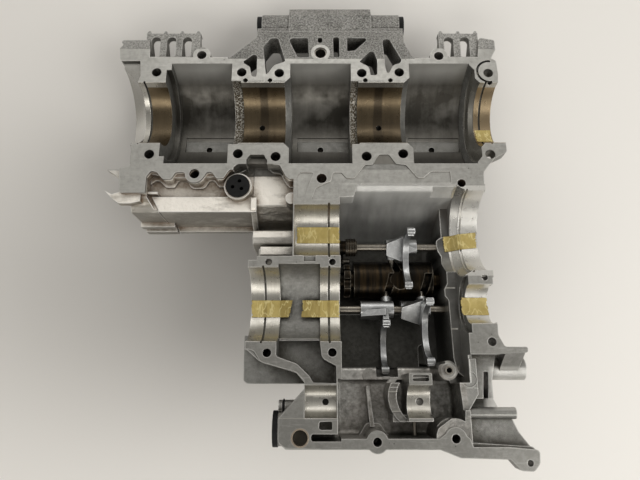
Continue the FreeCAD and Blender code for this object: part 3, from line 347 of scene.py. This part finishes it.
    # painted highlight across the middle of the polished cone at the left end, and painted dark reflection towards its
    # ends
    bright = s.mix(zone["mouth"] * (y.between(-30.0, 12.0, 22.0) * 0.95 + 0.1), bright, look["edge"])
    bright = s.mix(zone["mouth"] * (1.0 - y.between(-34.0, 16.0, 20.0)) * 0.55, bright, look["shadeGrey"])
    age = y.below(30.2, 0.3) * x.above(-165.0, 0.3)
    band = x.between(-58.5, -51.0, 1.5) + x.between(52.0, 60.0, 1.5)
    burn = broad * 0.5 + streak * 0.8 + lathe * 0.4 + band * 0.55 - y.above(12.0, 14.0) * 0.30 - 0.12
    varnish = s.mix(burn, look["varnish"], look["varnishDark"])
    endSeats = (x.above(149.0, 1.0) * 0.75 + x.below(-145.0, 1.0) * 0.06).least(1.0)
    varnish = s.mix(endSeats, varnish, look["varnishLight"])
    bright = s.mix(zone["crank"] * age * 0.97, bright, varnish)
    face = s.mix((zone["top"] + zone["sunk"]).least(1.0), cast, face)
    color = s.mix(zone["seats"], face, bright)
    # pale outside edges: partly wear, partly a painted highlight, strongest on the blasted block and along the ledge;
    # none on the crank seats and little in the bays
    worn = rim.above(0.18, 0.2) * (patch.between(0.46, 0.70, 0.14) * 0.5 + zone["blasted"] * 0.5 + zone["ledge"] * 0.5)
    color = s.mix(worn.least(1.0) * (1.0 - zone["crank"]) * (1.0 - zone["bay"] * 0.95), color, look["edge"])
    gloss = zone["seats"] * look["boreRough"] + (1.0 - zone["seats"]) * (
        zone["top"] * look["millRough"] + (1.0 - zone["top"]) * look["castRough"])
    gloss = gloss + (fine - 0.5) * 0.25 - zone["bay"] * 0.06 - zone["gearbox"] * 0.10 - zone["blasted"] * 0.10
    gloss = gloss - zone["mouth"] * 0.10  # the polished cone
    coarse = s.noise(330.0, 4.0, 0.75)
    relief = (speck * 0.7 + fine * 1.6) * raw * (1.0 - zone["bay"]) * (1.0 - zone["gearbox"] * 0.7)
    relief = relief + coarse * zone["sand"] * 4.0 + zone["rough"] * chips * 1.2 + patch * zone["gearbox"] * 3.0
    relief = relief + zone["blasted"] * (patch * 6.0 + coarse * 0.8) + lathe * zone["machined"] * 0.08
    s.bump(relief, 0.00035, 0.0007)
    dull = (zone["wall"] + zone["bay"] * front + zone["blasted"] * up * 0.9 + zone["sand"] * 0.5).least(1.0)
    return s.finish(color, gloss, look["metal"] - dull * 0.6)


def plainMetal(name, color, dark, rough, scale=180.0, creaseShade=0.4, stretch=(1.0, 1.0, 1.0)):
    s = Surface(name)
    spots = s.noise(scale, 4.0, 0.6, stretch)
    # painted shade in creases, as strong as the given amount; the outside edges paler, partly wear and partly a painted
    # highlight
    corner = s.crease(0.006)
    worn = s.rim(0.0007).above(0.2, 0.25)
    shade = s.mix((spots.between(0.4, 0.62, 0.3) * 0.6 + corner * creaseShade).least(1.0), color, dark)
    shade = s.mix(worn * 0.5, shade, tuple(min(1.0, c * 1.5) for c in color))
    s.bump(spots, 0.00012, 0.0004)
    return s.finish(shade, spots * 0.25 + rough - 0.1, 0.95)


drumLook = {"oil": (0.006, 0.005, 0.0035), "varnish": (0.030, 0.020, 0.010), "ring": (0.004, 0.0035, 0.003),
            "worn": (0.30, 0.27, 0.22)}


# dark oily steel with turned rings and brown varnish
def drumMetal():
    s = Surface("drumSteel")
    rings = s.noise(45.0, 3.0, 0.7, (2.6, 0.02, 0.02))
    varnish = s.noise(60.0, 3.0, 0.6, (2.0, 0.4, 0.4))
    oil = s.mix(varnish.between(0.46, 0.66, 0.14), drumLook["oil"], drumLook["varnish"])
    oil = s.mix(rings.between(0.50, 0.60, 0.06) * 0.6, oil, drumLook["ring"])
    # outside edges paler: partly wear, partly a painted highlight
    worn = s.rim(0.0009).above(0.2, 0.25)
    oil = s.mix(worn * 0.35, oil, drumLook["worn"])
    s.bump(rings, 0.0009, 0.0004)
    return s.finish(oil, rings * 0.2 + 0.22, 0.9)


rubberLook = {"black": (0.003, 0.003, 0.003), "dusty": (0.009, 0.009, 0.009), "shine": 0.2}


def rubber():
    s = Surface("blackRubber")
    s.shader.inputs["Specular IOR Level"].default_value = rubberLook["shine"]
    spots = s.noise(300.0, 3.0)
    s.bump(spots, 0.0002, 0.0005)
    color = s.mix(spots.between(0.45, 0.7, 0.2) * 0.5, rubberLook["black"], rubberLook["dusty"])
    return s.finish(color, 0.6, 0.0)


tapeLook = {"paper": (0.56, 0.445, 0.155), "paperDark": (0.34, 0.25, 0.062), "span": (0.24, 0.175, 0.042),
            "crease": (0.80, 0.70, 0.34)}


# crepe paper tape, with painted shade where it spans a groove or a gap, and bright along its creases
def maskingTape():
    s = Surface("maskingTape")
    x, y = s.mm[0], s.mm[1]
    crepe = s.noise(900.0, 3.0, 0.65, (1.0, 0.22, 1.0))
    blot = s.noise(110.0, 4.0, 0.6)
    crease = s.noise(150.0, 2.0, 0.5, (1.0, 0.35, 1.0), 5.0)
    onOutput, onInput = y.below(-160.0, 1.0), y.above(-140.0, 1.0)
    span = (x.between(6.2, 8.6, 0.8) + onOutput * (x.between(-49.9, -47.3, 0.8) + x.between(-36.0, -0.2, 0.8))
            + onInput * x.between(128.0, 130.4, 0.8) + x.between(117.0, 127.0, 1.5) * 0.5)
    color = s.mix((blot - 0.5) * 1.6 + crepe * 0.35 + 0.25, tapeLook["paper"], tapeLook["paperDark"])
    # painted shade where the tape spans a groove or a gap
    color = s.mix(span.least(1.0) * 0.55, color, tapeLook["span"])
    color = s.mix(crease.between(0.50, 0.535, 0.02) * 0.55, color, tapeLook["crease"])
    s.bump(crepe + crease * 0.8, 0.00030)
    return s.finish(color, 0.5, 0.0)


looks = {
    "case_aluminium": caseMetal(),
    "rod_steel": plainMetal("rodSteel", (0.33, 0.31, 0.275), (0.11, 0.092, 0.068), 0.28, 90.0, 0.5, (3.0, 1.0, 1.0)),
    "fork_steel": plainMetal("forkSteel", (0.60, 0.61, 0.615), (0.115, 0.118, 0.12), 0.30, 170.0, 1.0),
    "drum_steel": drumMetal(),
    "black_rubber": rubber(),
    "masking_tape": maskingTape(),
    "bronze": plainMetal("bronze", (0.40, 0.34, 0.27), (0.16, 0.125, 0.09), 0.38, 200.0),
    "copper": plainMetal("copper", (0.55, 0.28, 0.16), (0.25, 0.13, 0.08), 0.40, 200.0),
    "zinc_steel": plainMetal("zincSteel", (0.56, 0.54, 0.47), (0.30, 0.28, 0.22), 0.38, 160.0),
}
oilySteel = plainMetal("oilySteel", (0.030, 0.027, 0.022), (0.010, 0.009, 0.007), 0.45, 300.0)
slotOf = {part["node"]: part["material_slot"] for part in frame["record"]["subparts"]}
for name, node in frame["nodes"].items():
    look = oilySteel if name.startswith("drain_screw") else looks[slotOf[name]]  # oil stands over the drain screws
    for index in range(max(1, len(node.material_slots))):
        if len(node.material_slots) == 0:
            node.data.materials.append(look)
        else:
            node.material_slots[index].material = look
print("stage: materials")

tapes = {
    "tape_crank_right": {"ends": (150.0, 166.3), "axisY": 0.0, "radius": 31.0, "front": -2.5, "slant": (0.5, -0.4),
                         "held": (150, 165), "seed": 3},
    "tape_input_left": {"ends": (-22.0, 17.4), "axisY": -113.5, "radius": 23.0, "front": -104.9, "slant": (0.3, 0.2),
                        "held": (-22, 17), "seed": 5},
    "tape_input_right": {"ends": (113.6, 145.2), "axisY": -113.5, "radius": 36.0, "front": -108.5,
                         "slant": (1.8, -0.5), "held": (119, 145), "seed": 8, "skew": 2.8,
                         "drape": ((114.0, 4.4), (121.0, 4.4), (126.4, 1.2), (127.3, 0.0))},
    "tape_output_outer": {"ends": (-61.6, -24.2), "axisY": -177.8, "radius": 30.8, "front": -170.3,
                          "slant": (0.4, -3.2), "held": (-61, -35.6), "seed": 13},
    "tape_output_inner": {"ends": (-16.2, 16.8), "axisY": -177.8, "radius": 30.8, "front": -170.3, "slant": (-1.2, 0.2),
                          "held": (-0.4, 17), "seed": 21},
    "tape_output_right": {"ends": (120.2, 143.0), "axisY": -177.8, "radius": 16.3, "front": -170.5, "slant": (0.6, 1.2),
                          "held": (123, 143), "seed": 34},
}
tapeSheet = {"width": 15.0, "thick": 0.10, "wrinkle": 0.26, "tear": 0.55, "columns": 72, "rows": 26}


# sum of sines of the distance along random directions, over the root of their number: about -1 to 1
def wavy(across, along, rng, waves, reach):
    total = np.zeros_like(across)
    for _ in range(waves):
        turn, pitch, phase = rng.uniform(0, math.pi), rng.uniform(*reach), rng.uniform(0, 6.28)
        total += np.sin((across * math.cos(turn) + along * math.sin(turn)) * 6.28 / pitch + phase)
    return total / math.sqrt(waves)


# new piece from points in millimetres, with its material, body and slot set
def meshPiece(name, points, faces, look, body, smooth=True):
    mesh = bpy.data.meshes.new(name)
    mesh.from_pydata([tuple(p) for p in np.asarray(points) * 0.001], [], [tuple(f) for f in faces])
    mesh.update()
    for face in mesh.polygons:
        face.use_smooth = smooth
    mesh.materials.append(look)
    piece = bpy.data.objects.new(name, mesh)
    bpy.context.scene.collection.objects.link(piece)
    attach(piece, body)
    return piece


# faces of a closed thin sheet: an upper grid, a lower grid and the rim between them
def sheetFaces(columns, rows):
    def at(layer, i, j):
        return layer * columns * rows + i * rows + j
    faces = []
    for i in range(columns - 1):
        for j in range(rows - 1):
            faces.append((at(0, i, j), at(0, i + 1, j), at(0, i + 1, j + 1), at(0, i, j + 1)))
            faces.append((at(1, i, j + 1), at(1, i + 1, j + 1), at(1, i + 1, j), at(1, i, j)))
    for i in range(columns - 1):
        for j in (0, rows - 1):
            faces.append((at(0, i, j), at(1, i, j), at(1, i + 1, j), at(0, i + 1, j)))
    for j in range(rows - 1):
        for i in (0, columns - 1):
            faces.append((at(0, i, j), at(0, i, j + 1), at(1, i, j + 1), at(1, i, j)))
    return faces


# tape in the seats: each point hangs below the axis by the root of its radius squared less its offset squared
def layTapes():
    columns, rows = tapeSheet["columns"], tapeSheet["rows"]
    for name, plan in tapes.items():
        rng = np.random.default_rng(plan["seed"])
        u, v = np.meshgrid(np.linspace(0, 1, columns), np.linspace(0, 1, rows), indexing="ij")
        tear = [np.convolve(rng.normal(0, 1, rows + 2), (0.5, 1.0, 0.5), "valid") * tapeSheet["tear"] for _ in (0, 1)]
        start = plan["ends"][0] + plan["slant"][0] * v + np.abs(tear[0])[None, :]
        stop = plan["ends"][1] + plan["slant"][1] * v - np.abs(tear[1])[None, :]
        along = start + (stop - start) * u
        across = plan["front"] - tapeSheet["width"] * v + plan.get("skew", 0.0) * u
        free = np.maximum(plan["held"][0] - along, 0) + np.maximum(along - plan["held"][1], 0)
        lift = (wavy(along, across, rng, 7, (3.0, 14.0)) * 0.35 + 0.65).clip(0.0, 2.0) * tapeSheet["wrinkle"]
        lift = lift * (1 + 0.5 * np.minimum(free, 3.0)) + 0.02 * np.minimum(free, 8.0) ** 1.5
        drape = np.interp(along, *zip(*plan.get("drape", ((0.0, 0.0),))))
        layers = []
        for depth in (tapeSheet["thick"], 0.0):
            reach = plan["radius"] + drape - 0.03 - lift - depth
            drop = np.sqrt(reach ** 2 - (across - plan["axisY"]) ** 2)
            layers.append(np.stack([along, across, -drop], axis=-1).reshape(-1, 3))
        piece = meshPiece(name + "Sheet", np.concatenate(layers), sheetFaces(columns, rows), looks["masking_tape"],
                          "case")
        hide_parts(name)
    print("stage: tapes")


layTapes()

camera = {"place": (-0.0005, -0.246, 0.429), "pitchDeg": 16.0, "lens": 29.25}
tilt = math.radians(camera["pitchDeg"])
up = Vector((0.0, -math.sin(tilt), math.cos(tilt)))

floor = {"drop": 0.072, "size": 6.0, "color": (0.80, 0.78, 0.745), "worn": (0.74, 0.72, 0.69),
         "shadow": (0.02, 0.017, 0.013), "shade": 0.44, "shadeAt": (-180.0, -135.0), "shadeSize": (260.0, 165.0)}


# pale table square to the camera and 9 mm clear of the part, darker where the photograph has its shadow
def layFloor():
    mesh = bpy.data.meshes.new("table")
    half = floor["size"] / 2
    middle = Vector((0.0, -0.12, 0.0))
    middle -= up * (middle.dot(up) + floor["drop"])
    side, ahead = Vector((1.0, 0.0, 0.0)), Vector((0.0, math.cos(tilt), math.sin(tilt)))
    corners = [middle + side * a * half + ahead * b * half for a, b in ((-1, -1), (1, -1), (1, 1), (-1, 1))]
    mesh.from_pydata([tuple(c) for c in corners], [], [(0, 1, 2, 3)])
    table = bpy.data.objects.new("table", mesh)
    bpy.context.scene.collection.objects.link(table)
    s = Surface("tableTop")
    spots = s.noise(1.1, 2.0)
    across, along = ((s.mm[k] - floor["shadeAt"][k]) / floor["shadeSize"][k] for k in (0, 1))
    shade = ((across * across + along * along) * -0.9).math("EXPONENT") * floor["shade"]
    color = s.mix(shade, s.mix(spots, floor["color"], floor["worn"]), floor["shadow"])
    table.data.materials.append(s.finish(color, 0.6, 0.0))


lights = {
    "world": {"color": (1.0, 0.975, 0.93), "dark": 0.20, "front": 0.76, "rear": 0.36, "lean": 20.0, "edge": 0.78,
              "soft": 0.50},
    "window": {"place": (1.25, -0.75, 0.95), "size": (1.3, 1.1), "power": 15.0, "color": (1.0, 0.985, 0.95)},
    "rear": {"place": (-0.25, -1.5, 0.75), "size": (1.6, 0.7), "power": 9.0, "color": (1.0, 0.97, 0.92)},
    "front": {"place": (0.0, 1.3, 1.2), "size": (1.2, 0.8), "power": 5.0, "color": (1.0, 0.98, 0.95)},
}


def hangLights():
    world = bpy.data.worlds.new("room")
    bpy.context.scene.world = world
    world.use_nodes = True
    plan = lights["world"]
    sky = world.node_tree.nodes["Background"]
    sky.inputs[0].default_value = plan["color"] + (1.0,)
    split = world.node_tree.nodes.new("ShaderNodeSeparateXYZ")
    toward = world.node_tree.nodes.new("ShaderNodeTexCoord")
    world.node_tree.links.new(toward.outputs["Generated"], split.inputs[0])
    aheadY, aheadZ = (Wire(world.node_tree, split.outputs[k]) for k in (1, 2))
    lean = tilt + math.radians(plan["lean"])
    dark = (aheadY * -math.sin(lean) + aheadZ * math.cos(lean)).above(plan["edge"], plan["soft"])
    ahead = (aheadY * math.cos(tilt) + aheadZ * math.sin(tilt)) * 0.5 + 0.5
    glow = ahead * (plan["front"] - plan["rear"]) + plan["rear"]
    glow = glow + dark * (glow * -1.0 + plan["dark"])
    world.node_tree.links.new(glow.socket, sky.inputs[1])
    for name in ("window", "rear", "front"):
        plan = lights[name]
        lamp = bpy.data.lights.new(name, "AREA")
        lamp.shape = "RECTANGLE"
        lamp.size, lamp.size_y = plan["size"]
        lamp.energy = plan["power"]
        lamp.color = plan["color"]
        thing = bpy.data.objects.new(name, lamp)
        thing.location = plan["place"]
        aim = Vector((0.0, -0.1, -0.03)) - thing.location
        thing.rotation_euler = aim.to_track_quat("-Z", "Y").to_euler()
        bpy.context.scene.collection.objects.link(thing)


def setCamera():
    eye = bpy.data.cameras.new("eye")
    eye.lens = camera["lens"]
    eye.sensor_width = 36.0
    eye.clip_start = 0.01
    thing = bpy.data.objects.new("eye", eye)
    thing.location = camera["place"]
    thing.rotation_euler = (tilt, 0.0, 0.0)
    bpy.context.scene.collection.objects.link(thing)
    bpy.context.scene.camera = thing


layFloor()
hangLights()
setCamera()
scene = bpy.context.scene
scene.view_settings.view_transform = "Standard"
print("stage: table, lights and camera")
